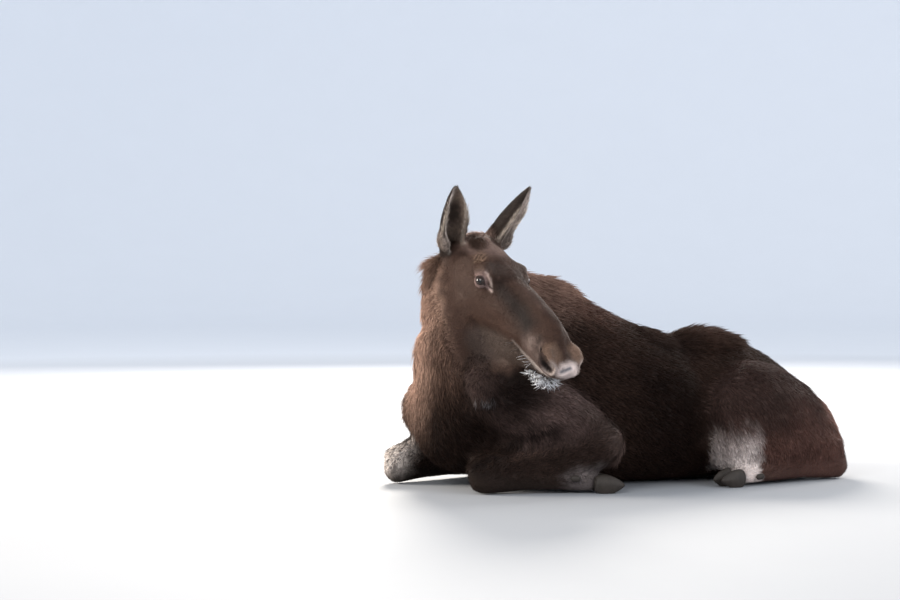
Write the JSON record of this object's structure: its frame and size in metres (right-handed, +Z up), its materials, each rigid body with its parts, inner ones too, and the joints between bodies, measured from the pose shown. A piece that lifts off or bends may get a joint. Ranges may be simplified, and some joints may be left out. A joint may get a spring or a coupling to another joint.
{
  "type": "moose",
  "caption": "Still, life-size moose cow lying on her belly with her legs folded under her and her head turned over her left shoulder.",
  "frame": {"origin": "middle of the part's bounding box, on the floor that the animal lies on", "axes": "-X the way the body faces, -Y the animal's left side, which the head is turned to, +Z up"},
  "size_m": [1.6178, 0.981, 1.0196],
  "materials": {
    "body_coat": "dense coat of coarse hair, nearly black brown",
    "neck_coat": "coarse warm brown hair",
    "face_coat": "short velvety taupe hair, paler on the muzzle",
    "leg_coat": "short grey hair",
    "ear_skin": "thin hide with short hair, pale inside",
    "eyes": "wet gloss, dark brown",
    "hooves": "dark horn, satin"
  },
  "bodies": {
    "root": {"bell": "neck_coat", "ear_left": "ear_skin", "ear_right": "ear_skin", "eye_left": "eyes", "eye_right": "eyes", "fore_cannon_left": "leg_coat", "fore_cannon_right": "leg_coat", "fore_dewclaw_inner_left": "hooves", "fore_dewclaw_inner_right": "hooves", "fore_dewclaw_outer_left": "hooves", "fore_dewclaw_outer_right": "hooves", "fore_forearm_left": "body_coat", "fore_forearm_right": "body_coat", "fore_toe_inner_left": "hooves", "fore_toe_inner_right": "hooves", "fore_toe_outer_left": "hooves", "fore_toe_outer_right": "hooves", "fore_upper_left": "body_coat", "fore_upper_right": "body_coat", "head": "face_coat", "hind_cannon_left": "leg_coat", "hind_cannon_right": "leg_coat", "hind_dewclaw_inner_left": "hooves", "hind_dewclaw_inner_right": "hooves", "hind_dewclaw_outer_left": "hooves", "hind_dewclaw_outer_right": "hooves", "hind_shank_left": "body_coat", "hind_shank_right": "body_coat", "hind_thigh_left": "body_coat", "hind_thigh_right": "body_coat", "hind_toe_inner_left": "hooves", "hind_toe_inner_right": "hooves", "hind_toe_outer_left": "hooves", "hind_toe_outer_right": "hooves", "lower_jaw": "face_coat", "neck": "neck_coat", "tail": "body_coat", "trunk": "body_coat"}
  },
  "joints": []
}
